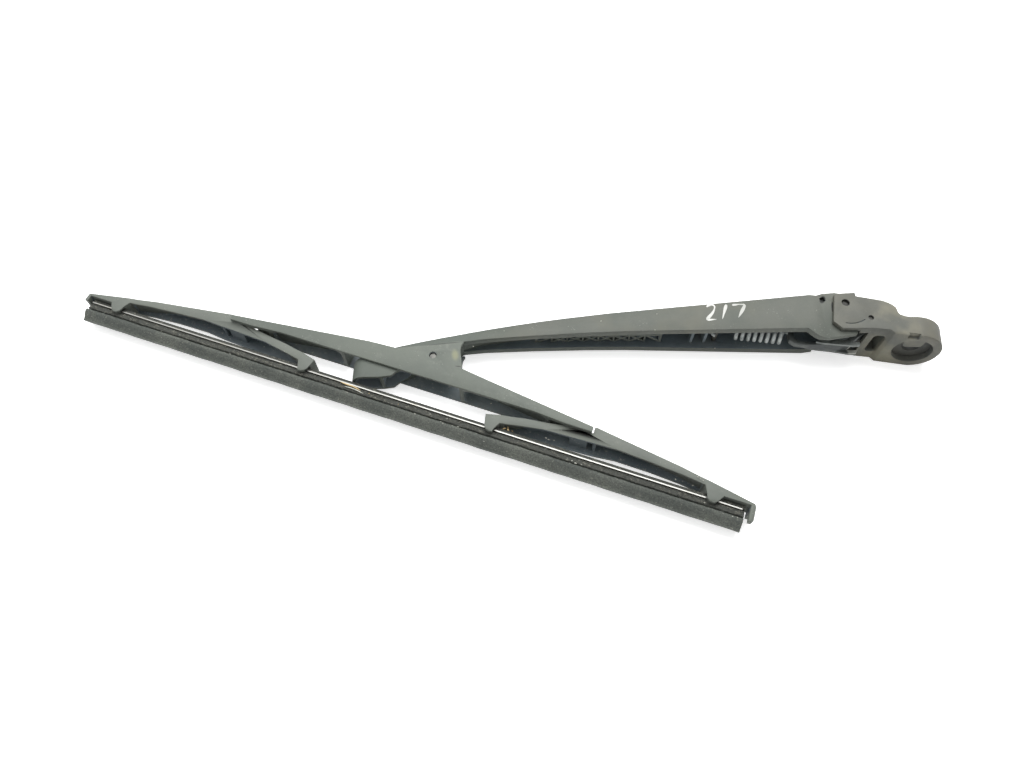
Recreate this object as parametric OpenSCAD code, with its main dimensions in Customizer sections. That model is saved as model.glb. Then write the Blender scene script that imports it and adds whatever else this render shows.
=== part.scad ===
// Rear wiper arm with its blade, in millimetres.
// The wiper lies on its side. X runs along the arm, Y away from the glass, Z across the width.
// The origin is the centre of the round opening under the head, on the spindle axis.

/* [Arm head] */
// Outside width of the head
head_w = 25.4; // [24:0.1:28]
// Radius of the round boss over the spindle
boss_r = 12.9; // [12.5:0.1:14]
// Height of the boss above the underside
boss_h = 12.2; // [11.5:0.1:14]
// Radius of the round opening under the boss
seat_r = 9; // [8:0.1:10]
// Depth of the round opening under the boss
seat_depth = 3.2; // [2.5:0.1:4]
// Radius of the bore that takes the spindle
spindle_r = 4.1; // [3:0.1:5]
// Radius of the nut recess on the outer side
nut_r = 8; // [7:0.1:9]
// Depth of the nut recess
nut_depth = 4; // [3:0.1:4.5]
// Thickness of each ear beside the arm
ear_t = 2.2; // [1.8:0.1:2.8]
// Distance of the hinge from the spindle, along X
hinge_dx = 35; // [33:0.5:38]
// Height of the hinge above the underside
hinge_h = 14.3; // [13.5:0.1:15]

/* [Hinge and link] */
// Radius of the hinge pin
hinge_pin_r = 1.8; // [1.5:0.05:2]
// Radius of the pin that holds the link in the head
link_pin_r = 1.2; // [1:0.05:1.4]
// Width of the bent link strip
link_w = 8; // [6:0.5:9]
// Thickness of the bent link strip
link_t = 2; // [1.5:0.1:2.4]

/* [Arm] */
// Distance along the arm from the hinge to the blade pivot
arm_reach = 196.6; // [190:1:204]
// Drop of the blade pivot below the hinge
arm_drop = 26.3; // [25:0.1:27.5]
// Turn of the arm against the head, in degrees
arm_turn = 9; // [7:0.5:10]
// Width of the arm at the hinge end
arm_w_hinge = 23.9; // [22.5:0.1:24.5]
// Loss of width for each millimetre of arm
arm_taper = 0.0652; // [0.062:0.0002:0.066]
// Thickness of the arm's side walls
arm_wall = 3.4; // [2.6:0.1:3.8]
// Thickness of the arm's top
arm_top_t = 2.4; // [2:0.1:3]
// Width of the finger that passes through the blade
finger_w = 11.8; // [11:0.1:12]
// Thickness of the stiffening ribs
rib_t = 1.3; // [1:0.1:1.8]
// Distance between the crossings of the ribs
rib_pitch = 15.15; // [14.5:0.05:15.5]
// Depth of the rib edges above the rim
rib_set = 3.2; // [2.5:0.1:4]

/* [Tension spring] */
// Outside diameter of the spring
spring_d = 9.4; // [8.4:0.1:9.8]
// Diameter of the spring wire
wire_d = 1.7; // [1.4:0.1:1.8]
// Distance between two turns
spring_pitch = 2.85; // [2.5:0.05:3.1]
// Number of full turns
spring_turns = 9; // [8:1:10]

/* [Blade] */
// Length of the blade over its tips
blade_len = 332; // [325:1:345]
// Turn of the blade against the arm, in degrees
blade_turn = 19.4; // [18:0.2:20]
// Distance of the blade pivot from the middle of the blade
pivot_u = 9.4; // [8:0.1:11]
// Height of the blade pivot above the tips
pivot_v = 22.1; // [21.8:0.1:22.6]
// Radius of the blade pivot pin
pivot_pin_r = 1.8; // [1.5:0.1:2]

/* [Primary yoke] */
// Length of the primary yoke
primary_len = 181.4; // [178:0.2:186]
// Width of the primary yoke at the middle
primary_w = 15; // [14.8:0.1:16]
// Width of the primary yoke at its ends
primary_end_w = 14; // [13.8:0.1:15]
// Thickness of the primary yoke's walls
primary_wall = 1.5; // [1.2:0.1:1.6]
// Height of the primary yoke's lower edge above the tips
primary_low = 9.9; // [9.7:0.1:10.2]

/* [Secondary yokes] */
// Distance of each yoke pivot from the end of the primary yoke
yoke_set_in = 4.7; // [4.2:0.1:5.4]
// Height of the yoke pivots above the tips
yoke_v = 10.2; // [10:0.1:10.4]
// Width of the secondary yokes
yoke_w = 9; // [8.6:0.1:9.2]
// Thickness of the secondary yokes' walls
yoke_wall = 1.1; // [0.9:0.1:1.3]
// Radius of the yoke pins
yoke_pin_r = 0.7; // [0.6:0.05:0.75]
// Distance of the inner claws from the middle of the blade
inner_claw_u = 47.5; // [46:0.5:49]
// Distance of the outer claws from the blade's tips
claw_set_in = 18; // [17:0.5:20]
// Width of a claw along the blade
claw_len = 5; // [4:0.2:6]

/* [Wiping element] */
// Distance of the rubber's ends from the blade's tips
rubber_set_in = 4; // [3.5:0.1:7]
// Distance from the tips' plane down to the wiping lip
rubber_depth = 12.2; // [11:0.1:13]
// Width of one steel rail
rail_w = 2.5; // [2:0.1:2.6]
// Thickness of one steel rail
rail_t = 0.9; // [0.7:0.05:1]

/* [Fits] */
// Radial clearance of a pin in a turning hole
pin_fit = 0.05; // [0.03:0.01:0.08]
// Side clearance between parts that turn on each other
side_gap = 0.3; // [0.25:0.05:0.4]

/* [Hidden] */
$fn = 64;
BIG = 200;

// Colours of the real materials
PLASTIC = [0.24, 0.25, 0.24];
STEEL = [0.62, 0.63, 0.64];
RUBBER = [0.07, 0.07, 0.08];

// Places along the blade, counted from its middle
yoke_u = primary_len / 2 - yoke_set_in;
outer_claw_u = blade_len / 2 - claw_set_in;
rubber_len = blade_len - 2 * rubber_set_in;

// Places on the head
hinge_x = -hinge_dx;
ear_inner = head_w / 2 - ear_t;
tongue_half = ear_inner - side_gap;
tongue_r = 12;
link_pin_dx = 11.4;
link_pin_drop = 7;

// Curves of the arm in its own frame, with the hinge at the origin
function arm_half(x) = arm_w_hinge / 2 + x * arm_taper / 2;
function arm_top(x) = 7 + 0.104 * x + 0.00039 * pow(x, 2) + 0.0000024 * pow(x, 3);
shoulder_x = -11.5;
slope_x = shoulder_x - 4.5;
arm_end_x = -arm_reach - 37.9;
arm_end_y = -arm_drop - 11;
rim_y = -13.6;
finger_x = -arm_reach + 9.6;
anchor_x = -60;
anchor_y = -8.4;
spring_end_x = -28;

// A point of the head as the arm's frame sees it
link_eye = [cos(arm_turn) * link_pin_dx - sin(arm_turn) * link_pin_drop,
            -sin(arm_turn) * link_pin_dx - cos(arm_turn) * link_pin_drop];

module arm_frame() {
    translate([hinge_x, hinge_h, 0])
        rotate([0, 0, arm_turn])
            children();
}

// The blade's frame has its origin at the middle of the blade, level with the tips
module blade_frame() {
    arm_frame()
        translate([-arm_reach, -arm_drop, 0])
            rotate([0, 0, -blade_turn])
                translate([-pivot_u, -pivot_v, 0])
                    children();
}

// A box given by two corners
module span(low, high) {
    translate(low)
        cube(high - low);
}

// A plate drawn in X and Y, equally thick to both sides of the middle plane
module slab(width) {
    translate([0, 0, -width / 2])
        linear_extrude(width)
            children();
}

// A plan drawn in X and Z, taller than the whole part
module plan() {
    rotate([90, 0, 0])
        translate([0, 0, -BIG])
            linear_extrude(2 * BIG)
                children();
}

// A box from low to high along X and w to each side, with rounded corners
function round_box(low, high, w, r) =
    [for (q = [[high - r, w - r, 0], [low + r, w - r, 90],
               [low + r, r - w, 180], [high - r, r - w, 270]])
        for (a = [0 : 22.5 : 90]) [q[0] + r * cos(q[2] + a), q[1] + r * sin(q[2] + a)]];

// A pin along Z with chamfered ends
module cross_pin(r, length) {
    edge = 0.3;
    half = length / 2;
    rotate_extrude()
        polygon([[0, -half], [r - edge, -half], [r, -half + edge],
                 [r, half - edge], [r - edge, half], [0, half]]);
}

// A hole along Z right through
module cross_hole(r) {
    cylinder(r = r, h = BIG, center = true);
}

// Head: two ears, a neck and a round boss over the spindle
module head_outline() {
    ear_top = hinge_h + 6.6;
    polygon([[hinge_x - 2.1, -0.9], [hinge_x - 6.1, 2.4], [hinge_x - 4.9, hinge_h + 4.4],
             [hinge_x + 4.6, ear_top], [hinge_x + 5, ear_top - 2], [-17.5, 18.2],
             [-15, 17.4], [-12.9, 16.4], [-11.4, 15], [-10.8, 12.6], [-9.9, 11.3],
             [-7.6, 10.7], [0, 10.3], [0, 0], [-13, 0], [-15, 1.8], [-22.3, 1.5]]);
}

module head_boss() {
    edge = 2.2;
    foot = 0.4;
    rotate([-90, 0, 0])
        rotate_extrude()
            polygon(concat([[0, 0], [boss_r - foot, 0], [boss_r, foot]],
                           [for (a = [0 : 15 : 90]) [boss_r - edge + edge * cos(a),
                                                     boss_h - edge + edge * sin(a)]],
                           [[0, boss_h]]));
}

module arm_head() {
    link_room_end = -seat_r - 5.5;
    bridge_x = hinge_x + 11.6;
    bridge_y = 3.4;
    bridge_w = 3.4;
    groove_r = 11.8;
    roof_y = 15.8;
    side_wall = 4.4;
    slot_depth = 1.4;
    skirt_room = 7;
    color(PLASTIC)
    difference() {
        union() {
            slab(head_w)
                head_outline();
            head_boss();
        }
        // Room for the arm's tongue to turn about the hinge
        translate([hinge_x, hinge_h, 0])
            cylinder(r = tongue_r + side_gap, h = 2 * ear_inner, center = true);
        span([hinge_x - 20, -5, -ear_inner], [hinge_x + skirt_room, hinge_h, ear_inner]);
        // Room for the link, open to the underside up to a bridge
        slab(head_w - 2 * side_wall)
            polygon([[hinge_x, -5], [hinge_x, roof_y], [link_room_end, roof_y],
                     [link_room_end, bridge_y], [bridge_x, bridge_y], [bridge_x, -5]]);
        // Window between the bridge and the boss
        rotate([90, 0, 0])
            translate([0, 0, -bridge_y - 1])
                linear_extrude(BIG)
                    polygon(round_box(bridge_x + bridge_w, link_room_end, 6.8, 2));
        // Fine groove on the near ear, round the hinge
        translate([hinge_x, hinge_h, head_w / 2 - 0.4])
            linear_extrude(1)
                polygon(concat([for (a = [-93 : 6 : -45]) groove_r * [cos(a), sin(a)]],
                               [for (a = [-45 : -6 : -93]) (groove_r + 0.4) * [cos(a), sin(a)]]));
        // Openings round the spindle
        rotate([-90, 0, 0]) {
            translate([0, 0, -1])
                cylinder(r = seat_r, h = seat_depth + 1);
            cylinder(r = spindle_r, h = boss_h + 1);
            translate([0, 0, boss_h - nut_depth])
                cylinder(r = nut_r, h = nut_depth + 1);
        }
        translate([hinge_x, hinge_h, 0])
            cross_hole(hinge_pin_r);
        translate([hinge_x + link_pin_dx, hinge_h - link_pin_drop, 0])
            cross_hole(link_pin_r);
        // Slot in the rim of the boss
        span([-6.6, -1, seat_r + 0.8], [-1.3, slot_depth, boss_r + 1]);
    }
}

module hinge_pin() {
    color(STEEL)
    translate([hinge_x, hinge_h, 0])
        cross_pin(hinge_pin_r, head_w - 2.4);
}

module link_pin() {
    color(STEEL)
    translate([hinge_x + link_pin_dx, hinge_h - link_pin_drop, 0])
        cross_pin(link_pin_r, head_w - 1.6);
}

// Arm: one moulded channel, open towards the glass
module arm_outline() {
    polygon(concat(
        [for (i = [0 : 18]) let (x = shoulder_x - i * 11.2) [x, arm_top(x)]],
        [[arm_end_x + 1.6, arm_end_y + 10], [arm_end_x, arm_end_y + 8.4],
         [arm_end_x, arm_end_y], [arm_end_x + 14, arm_end_y + 0.2],
         [arm_end_x + 19, arm_end_y + 1], [arm_end_x + 21.2, arm_end_y + 3.1],
         [-189, -21.2], [-182.4, -18],
         [-172, -16.7], [-150, -15.3], [-123, -14.1], [-104, rim_y], [shoulder_x, rim_y]]));
}

module arm_plan() {
    half = finger_w / 2;
    wide_x = finger_x + 8;
    side = concat(
        [[shoulder_x, tongue_half], [slope_x, arm_half(slope_x)],
         [wide_x, arm_half(wide_x)], [finger_x, half]],
        [for (a = [90 : -15 : 15]) [arm_end_x + half - half * cos(a), half * sin(a)]]);
    polygon(concat(side, [for (i = [len(side) - 1 : -1 : 0]) [side[i][0], -side[i][1]]]));
}

// The tongue that runs between the ears of the head
module tongue_outline() {
    polygon(concat(
        [for (a = [14 : -13 : -116]) tongue_r * [cos(a), sin(a)]],
        [[-10.2, -11.4], [-12.4, rim_y], [-24, rim_y], [-24, 3], [-12.6, 5.8], [-9, 7],
         [-3, 7.5], [2, 6.6], [7, 4.6], [8, 4]]));
}

// The skirt that covers the link on the near side only
module skirt_outline() {
    polygon([[-26, rim_y + 1], [-26, rim_y], [-20, rim_y], [-16.8, -17], [-14.7, -18.3],
             [-10.5, -18.6], [-5.7, -17.8], [3.1, -16.2], [4.6, -11.2], [-10, -9]]);
}

// Inside of the channel, from the tongue to the finger
module arm_channel() {
    near_x = 20;
    even_x = -30;
    far_x = finger_x + 4;
    wide = arm_half(even_x) - arm_wall;
    thin = arm_half(far_x) - arm_wall + 0.4;
    intersection() {
        slab(2 * BIG)
            polygon(concat(
                [[near_x, -40], [near_x, arm_top(0) - arm_top_t]],
                [for (i = [0 : 16]) let (x = i * (far_x + 8) / 16) [x, arm_top(x) - arm_top_t]],
                [[far_x, arm_top(far_x) - arm_top_t - 1.5], [far_x, -40]]));
        plan()
            polygon([[near_x, wide], [even_x, wide], [far_x, thin],
                     [far_x, -thin], [even_x, -wide], [near_x, -wide]]);
    }
}

// Crossed ribs, a middle rib and plain cross walls
module rib_grid() {
    cells = 4;
    end_x = -87.2;
    first_x = end_x - cells * rib_pitch;
    for (i = [0 : cells - 1]) {
        mid = first_x + (i + 0.5) * rib_pitch;
        w = 2 * (arm_half(mid) - arm_wall);
        long = norm([w, rib_pitch]) / 2 + 1;
        for (s = [-1, 1])
            translate([mid, 0, 0])
                rotate([0, s * atan2(w, rib_pitch), 0])
                    span([-long, -40, -rib_t / 2], [long, 20, rib_t / 2]);
    }
    for (x = [first_x, end_x, -71.7, -65.2])
        span([x - rib_t / 2, -40, -12], [x + rib_t / 2, 20, 12]);
    span([first_x, -40, -rib_t / 2], [end_x, 20, rib_t / 2]);
}

// Where ribs may stand: above the plane that their edges reach, left of the spring
module rib_zone() {
    slab(2 * BIG)
        polygon([[anchor_x, 12], [-176, 12], [-176, -17.1 + rib_set], [-150, -15.3 + rib_set],
                 [-123, -14.1 + rib_set], [-104, rim_y + rib_set], [anchor_x, rim_y + rib_set]]);
}

module arm_beam() {
    finger_wall = 1.5;
    finger_roof = arm_end_y + 9.2;
    finger_rib_x = arm_end_x + 13.4;
    hollow_end = arm_end_x + 27.5;
    color(PLASTIC)
    arm_frame()
    difference() {
        union() {
            intersection() {
                slab(2 * BIG)
                    arm_outline();
                plan()
                    arm_plan();
            }
            slab(2 * tongue_half)
                tongue_outline();
            intersection() {
                translate([0, 0, arm_half(slope_x) - arm_wall])
                    linear_extrude(BIG)
                        skirt_outline();
                plan()
                    polygon([[-30, arm_half(-30)], [slope_x, arm_half(slope_x)],
                             [shoulder_x, tongue_half], [20, tongue_half], [20, 0], [-30, 0]]);
            }
        }
        // Hollow of the finger, open below, with one rib across it
        difference() {
            intersection() {
                slab(2 * BIG)
                    polygon([[arm_end_x, -60], [arm_end_x, finger_roof - 1.6],
                             [finger_rib_x + 5, finger_roof], [hollow_end, finger_roof - 1],
                             [hollow_end, -60]]);
                plan()
                    polygon(round_box(arm_end_x + finger_wall, hollow_end,
                                      finger_w / 2 - finger_wall, 4));
            }
            span([finger_rib_x, -60, -BIG], [finger_rib_x + 1.7, BIG, BIG]);
        }
        difference() {
            arm_channel();
            intersection() {
                rib_grid();
                rib_zone();
            }
        }
        // Holes for the hinge, the spring's anchor and the blade pivot
        cross_hole(hinge_pin_r + pin_fit);
        translate([anchor_x, anchor_y, 0])
            cylinder(r = link_pin_r, h = 2 * arm_half(anchor_x) - 2.4, center = true);
        translate([-arm_reach, -arm_drop, 0])
            cross_hole(pivot_pin_r + pin_fit);
        // Small square hole and notch at the near shoulder
        translate([-9.5, 3.5, tongue_half - 1.5])
            rotate([0, 0, 20])
                span([-1.2, -1.2, 0], [1.2, 1.2, 5]);
    }
}

module anchor_pin() {
    color(STEEL)
    arm_frame()
        translate([anchor_x, anchor_y, 0])
            cross_pin(link_pin_r, 2 * arm_half(anchor_x) - 3);
}

// Closed coil with a hook at each end, swept along one path
function coil_point(i, r, steps, x0) =
    let (a = i * 360 / steps) [x0 + spring_pitch * i / steps, r * cos(a), r * sin(a)];

module tension_spring() {
    steps = 20;
    sides = 8;
    r = (spring_d - wire_d) / 2;
    eye_r = 2.2;
    x0 = spring_end_x - spring_turns * spring_pitch;
    path = concat(
        [for (i = [0 : 8]) let (a = 250 - i * 30)
            [eye_r * cos(a), eye_r * sin(a), 0]],
        [[(x0 - anchor_x) * 0.75, r * 0.6, 0]],
        [for (i = [0 : steps * spring_turns]) coil_point(i, r, steps, x0 - anchor_x)]);
    color(STEEL)
    arm_frame()
        translate([anchor_x, anchor_y, 0])
            sweep(path, wire_d / 2, sides);
}

// A round wire along a path, as one closed solid
function unit(v) = v / norm(v);
function tangent(p, i) = unit(p[min(i + 1, len(p) - 1)] - p[max(i - 1, 0)]);

module sweep(path, r, sides) {
    n = len(path);
    ups = [for (i = [0 : n - 1]) unit(cross(tangent(path, i), [0.02, 0.05, 1]))];
    rings = [for (i = [0 : n - 1]) let (t = tangent(path, i), u = ups[i], v = cross(t, u))
        [for (j = [0 : sides - 1]) let (a = j * 360 / sides)
            path[i] + r * (cos(a) * u + sin(a) * v)]];
    polyhedron(
        points = [for (ring = rings) for (q = ring) q],
        faces = concat(
            [[for (j = [0 : sides - 1]) j]],
            [[for (j = [sides - 1 : -1 : 0]) (n - 1) * sides + j]],
            [for (i = [0 : n - 2]) for (j = [0 : sides - 1])
                let (k = (j + 1) % sides)
                    [i * sides + j, (i + 1) * sides + j, (i + 1) * sides + k, i * sides + k]]),
        convexity = 10);
}

// Bent strip between the spring and the head, curled round the pin in the head
module link_strip() {
    hook = [spring_end_x + 2.3, anchor_y];
    polygon([link_eye + [-0.8, 2], link_eye + [0.4, -2.4], [2.2, -17.2], [-3, -18],
             hook + [7.1, -8.5], hook + [2.3, -7.8], hook + [0, -5.6], hook + [0, -1],
             hook + [1.3, 0.2], hook + [2.7, -1], hook + [2.7, -4.2], hook + [4.3, -5.8],
             hook + [7.7, -6.5], [-3, -15.9], [1, -15.2], link_eye + [-2.6, -0.6]]);
}

module spring_link() {
    eye_out = link_pin_r + pin_fit + link_t;
    color(STEEL)
    arm_frame()
    difference() {
        union() {
            slab(link_w)
                link_strip();
            translate(link_eye)
                cylinder(r = eye_out, h = link_w, center = true);
        }
        translate(link_eye)
            cross_hole(link_pin_r + pin_fit);
    }
}

// Primary yoke: a long channel with two cheeks that hold the arm's finger
module primary_outline() {
    half = primary_len / 2;
    ear_low = yoke_v - 1.3;
    end_top = yoke_v + 1.2;
    p = [pivot_u, pivot_v];
    polygon([[-half, ear_low], [-half, end_top], [-44, 16.9], [-22, 19.3], [-8, 20.1],
             p + [-4.8, 4.1], p + [0.7, 7], p + [7, 10.4], p + [10.4, 12], p + [11, 11.5],
             p + [10.6, 9.2], p + [11.2, 6.5], p + [13.5, 2.1], p + [15.5, -2.4],
             [44, 17.1], [half, end_top], [half, ear_low], [half - 12, ear_low],
             [half - 27, primary_low], [-half + 27, primary_low], [-half + 12, ear_low]]);
}

module primary_yoke() {
    half = primary_len / 2;
    mid = primary_w / 2;
    end = primary_end_w / 2;
    inner = mid - primary_wall + 0.2;
    boss = yoke_w / 2 + side_gap;
    window = [-30.8, 27.2];
    wall = 2;
    skin = 1.6;
    cap = half - 19.7;
    slot_u = yoke_u - 7.5;
    color(PLASTIC)
    blade_frame()
    difference() {
        intersection() {
            slab(2 * BIG)
                primary_outline();
            plan()
                polygon([[-half, end], [-30, mid], [30, mid], [half, end],
                         [half, -end], [30, -mid], [-30, -mid], [-half, -end]]);
        }
        // Window for the arm's finger
        span([window[0], -BIG, -finger_w / 2 - side_gap],
             [window[1], BIG, finger_w / 2 + side_gap]);
        // Hollows between the window and the ends, open below
        intersection() {
            slab(2 * BIG)
                polygon([[window[0], -BIG], [window[0], 18.4 - skin], [-44, 16.9 - skin],
                         [-cap, 13.4 - skin], [-cap, -BIG]]);
            plan()
                polygon(round_box(wall - cap, window[0] - wall, inner - 0.4, 3));
        }
        intersection() {
            slab(2 * BIG)
                polygon([[window[1], -BIG], [window[1], 18.9 - skin], [44, 17.1 - skin],
                         [cap, 13.4 - skin], [cap, -BIG]]);
            plan()
                polygon(round_box(window[1] + wall, cap - wall, inner - 0.4, 3));
        }
        for (s = [-1, 1]) {
            // Slots for the secondary yokes
            span([min(s * slot_u, s * BIG), -BIG, -boss], [max(s * slot_u, s * BIG), BIG, boss]);
            span([min(s * cap, s * BIG), -BIG, -boss], [max(s * cap, s * BIG), yoke_v + 0.3, boss]);
            translate([s * yoke_u, yoke_v, 0])
                cylinder(r = yoke_pin_r, h = primary_end_w - 1, center = true);
        }
        translate([pivot_u, pivot_v, 0])
            cross_hole(pivot_pin_r);
    }
}

module blade_pivot_pin() {
    color(STEEL)
    blade_frame()
        translate([pivot_u, pivot_v, 0])
            cross_pin(pivot_pin_r, primary_w - 2.2);
}

module yoke_pin(side) {
    color(STEEL)
    blade_frame()
        translate([side * yoke_u, yoke_v, 0])
            cross_pin(yoke_pin_r, primary_end_w - 1.2);
}

module left_yoke_pin() {
    yoke_pin(-1);
}

module right_yoke_pin() {
    yoke_pin(1);
}

// Secondary yoke drawn for the right side, with u counted from the middle of the blade
module yoke_outline() {
    tip = blade_len / 2;
    inner = inner_claw_u - claw_len / 2;
    outer = outer_claw_u + claw_len / 2;
    claw_low = -4.8;
    hump = 1.5;
    step_u = primary_len / 2 + 0.6;
    polygon(concat(
        [[tip, -7], [tip, -0.6], [tip - 0.8, 0.3], [out_u(0.81), 3.2], [out_u(0.575), 6.9],
         [out_u(0.29), 10.2], [yoke_u + 9, 12.4], [step_u + 0.8, 12.9], [step_u, 12.3],
         [step_u, yoke_v - 0.6], [yoke_u + 2.4, yoke_v - 0.6]],
        [for (a = [10 : 25 : 160]) [yoke_u + hump * cos(a), yoke_v + hump * sin(a)]],
        [[yoke_u - 5, 9.6], [in_u(0.36), 8], [in_u(0.675), 6.4], [in_u(0.96), 4.2],
         [inner - 2.2, 2.6], [inner - 0.8, claw_low + 1.8], [inner + 0.3, claw_low + 0.6],
         [inner + 2, claw_low], [inner + claw_len - 1.6, claw_low + 0.2],
         [inner + claw_len - 1.1, claw_low + 2], [inner + claw_len + 0.3, 0.3],
         [in_u(0.73), 1.9], [in_u(0.415), 4], [in_u(0.05), 4.5],
         [out_u(0.1), 4.9], [out_u(0.225), 5.4], [out_u(0.425), 4.4],
         [out_u(0.6), 3.3], [outer - claw_len - 2, 2], [outer - claw_len - 0.6, -1.4],
         [outer - claw_len, claw_low + 1.2], [outer - claw_len + 1.4, claw_low],
         [outer - 1.6, claw_low], [outer, claw_low + 1.6], [outer + 1.6, -0.6],
         [tip - 2.2, -0.6], [tip - 2.2, -8], [tip - 0.8, -8]]));
}

module yoke_plan() {
    tip = blade_len / 2;
    half = yoke_w / 2;
    claw_half = rail_edge() + 1.3;
    inner = inner_claw_u - claw_len / 2;
    outer = outer_claw_u - claw_len / 2;
    side = [[inner - 3, claw_half], [inner + claw_len + 1, claw_half], [inner + claw_len + 4, half],
            [outer - 5, half], [outer - 1, claw_half], [tip - 0.8, claw_half],
            [tip, claw_half - 0.8]];
    polygon(concat(side, [for (i = [len(side) - 1 : -1 : 0]) [side[i][0], -side[i][1]]]));
}

// Half the width over both rails
function rail_edge() = 1.1 + rail_w;

// Places along the outer arm of a secondary yoke, from its pin (0) to the blade's tip (1)
function out_u(f) = yoke_u + f * (blade_len / 2 - yoke_u);

// Places along its inner arm, from its pin (0) to the inner claws (1)
function in_u(f) = yoke_u - f * (yoke_u - inner_claw_u);

// The far wall reaches lower than the near one
module far_wall_outline() {
    low_end = inner_claw_u + claw_len / 2;
    polygon([[low_end, 3.4], [low_end, 1], [in_u(0.73), 1.8], [in_u(0.415), 2.3],
             [out_u(0.1), 2.5], [out_u(0.225), 3.6], [out_u(0.425), 3.4], [out_u(0.6), 2.5],
             [outer_claw_u - claw_len, 1.4], [outer_claw_u - claw_len, 3], [out_u(0.6), 6],
             [out_u(0.425), 7], [out_u(0.1), 8], [in_u(0.415), 6], [in_u(0.73), 5]]);
}

module secondary(side) {
    tip = blade_len / 2;
    inner = inner_claw_u - claw_len / 2;
    outer = outer_claw_u + claw_len / 2;
    half = yoke_w / 2 - yoke_wall;
    web = 1.4;
    web_u = yoke_u + 6.6;
    hook_free = side > 0 ? [-BIG, 1.6] : [-1.6, BIG];
    groove = rail_edge() + side_gap;
    color(PLASTIC)
    blade_frame()
    mirror([side < 0 ? 1 : 0, 0, 0])
    difference() {
        union() {
            intersection() {
                slab(2 * BIG)
                    yoke_outline();
                plan()
                    yoke_plan();
            }
            translate([0, 0, -yoke_w / 2])
                linear_extrude(yoke_wall)
                    far_wall_outline();
        }
        // The hook at the tip stands on the near side of the right yoke and on the far side of the left one
        span([tip - 3, -BIG, hook_free[0]], [tip + 1, -3.4, hook_free[1]]);
        // Hollows on both sides of the pivot, open below
        slab(2 * half)
            polygon([[inner + claw_len + 2, -BIG], [inner + claw_len + 2, 2.4],
                     [in_u(0.675), 5], [in_u(0.36), 6.6], [yoke_u - 4, 7.6], [yoke_u - 4, -BIG]]);
        slab(2 * half)
            polygon([[yoke_u + 4, -BIG], [yoke_u + 4, 7.6], [web_u, 9], [web_u, -BIG]]);
        slab(2 * half)
            polygon([[web_u + web, -BIG], [web_u + web, 11], [out_u(0.29), 8.8],
                     [out_u(0.575), 5.5], [outer - claw_len - 3, 3.2],
                     [outer - claw_len - 3, -BIG]]);
        // Way for the rails and the rubber through the claws and into the tip
        span([0, -3.6, -groove], [tip - 2.2, -0.9, groove]);
        span([0, -BIG, -2.6], [outer + 2, -0.9, 2.6]);
        span([outer, -BIG, -groove], [tip - 2.2, -0.9, groove]);
        translate([yoke_u, yoke_v, 0])
            cross_hole(yoke_pin_r + pin_fit);
    }
}

module left_yoke() {
    secondary(-1);
}

module right_yoke() {
    secondary(1);
}

// Steel rails in the two grooves of the rubber
rail_top = -2.4;

module rail(side) {
    half = rubber_len / 2 - 1;
    color(STEEL)
    blade_frame()
        plan_strip(half, side);
}

module plan_strip(half, side) {
    low = side > 0 ? rail_edge() - rail_w : -rail_edge();
    span([-half, rail_top - rail_t, low], [half, rail_top, low + rail_w]);
}

module rail_near() {
    rail(1);
}

module rail_far() {
    rail(-1);
}

// Rubber section, drawn with the width across and the height up
module wiper_rubber() {
    bead = 2.3;
    web = 1;
    neck = 0.7;
    heel = 3.4;
    bead_low = -6;
    neck_low = -7.1;
    heel_low = -8.6;
    under_rail = rail_top - rail_t - 0.05;
    half = [[bead, -1.6], [bead, rail_top + 0.05], [web, rail_top + 0.05], [web, under_rail],
            [bead, under_rail], [bead, bead_low], [neck, bead_low], [neck, neck_low],
            [heel, neck_low - 0.1], [heel, heel_low], [0.7, 0.9 - rubber_depth],
            [0.45, -rubber_depth]];
    color(RUBBER)
    blade_frame()
        rotate([90, 0, 90])
            translate([0, 0, -rubber_len / 2])
                linear_extrude(rubber_len)
                    polygon(concat([for (q = half) [q[1], q[0]]],
                                   [for (i = [len(half) - 1 : -1 : 0])
                                       [half[i][1], -half[i][0]]]));
}

arm_head();
hinge_pin();
link_pin();
arm_beam();
anchor_pin();
tension_spring();
spring_link();
blade_pivot_pin();
primary_yoke();
left_yoke_pin();
right_yoke_pin();
left_yoke();
right_yoke();
rail_near();
rail_far();
wiper_rubber();
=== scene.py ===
"""Looks of a rear wiper arm with its blade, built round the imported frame.

The frame has X along the arm, Y away from the glass and Z across the width, with the origin under the
head on the spindle axis. The wiper lies on its side on a pale table. Blender's lengths are metres. The
sizes of pieces and marks are in millimetres, and MM turns them into metres.
"""
import math

import bmesh
import bpy
import numpy as np
from mathutils.bvhtree import BVHTree
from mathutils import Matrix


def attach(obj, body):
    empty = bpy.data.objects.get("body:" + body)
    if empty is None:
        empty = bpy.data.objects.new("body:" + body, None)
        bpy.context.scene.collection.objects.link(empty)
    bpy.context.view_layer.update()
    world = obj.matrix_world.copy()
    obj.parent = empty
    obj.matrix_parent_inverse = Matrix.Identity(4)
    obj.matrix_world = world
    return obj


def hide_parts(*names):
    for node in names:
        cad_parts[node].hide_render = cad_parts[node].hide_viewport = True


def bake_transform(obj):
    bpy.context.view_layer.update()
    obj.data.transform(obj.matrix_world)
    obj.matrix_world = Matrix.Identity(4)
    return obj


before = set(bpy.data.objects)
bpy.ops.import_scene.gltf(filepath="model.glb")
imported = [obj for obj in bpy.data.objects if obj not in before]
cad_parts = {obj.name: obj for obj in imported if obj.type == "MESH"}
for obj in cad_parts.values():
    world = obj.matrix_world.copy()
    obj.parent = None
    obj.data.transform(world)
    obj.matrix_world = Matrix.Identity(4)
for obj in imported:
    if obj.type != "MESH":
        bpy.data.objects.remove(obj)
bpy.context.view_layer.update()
MM = 0.001

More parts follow.
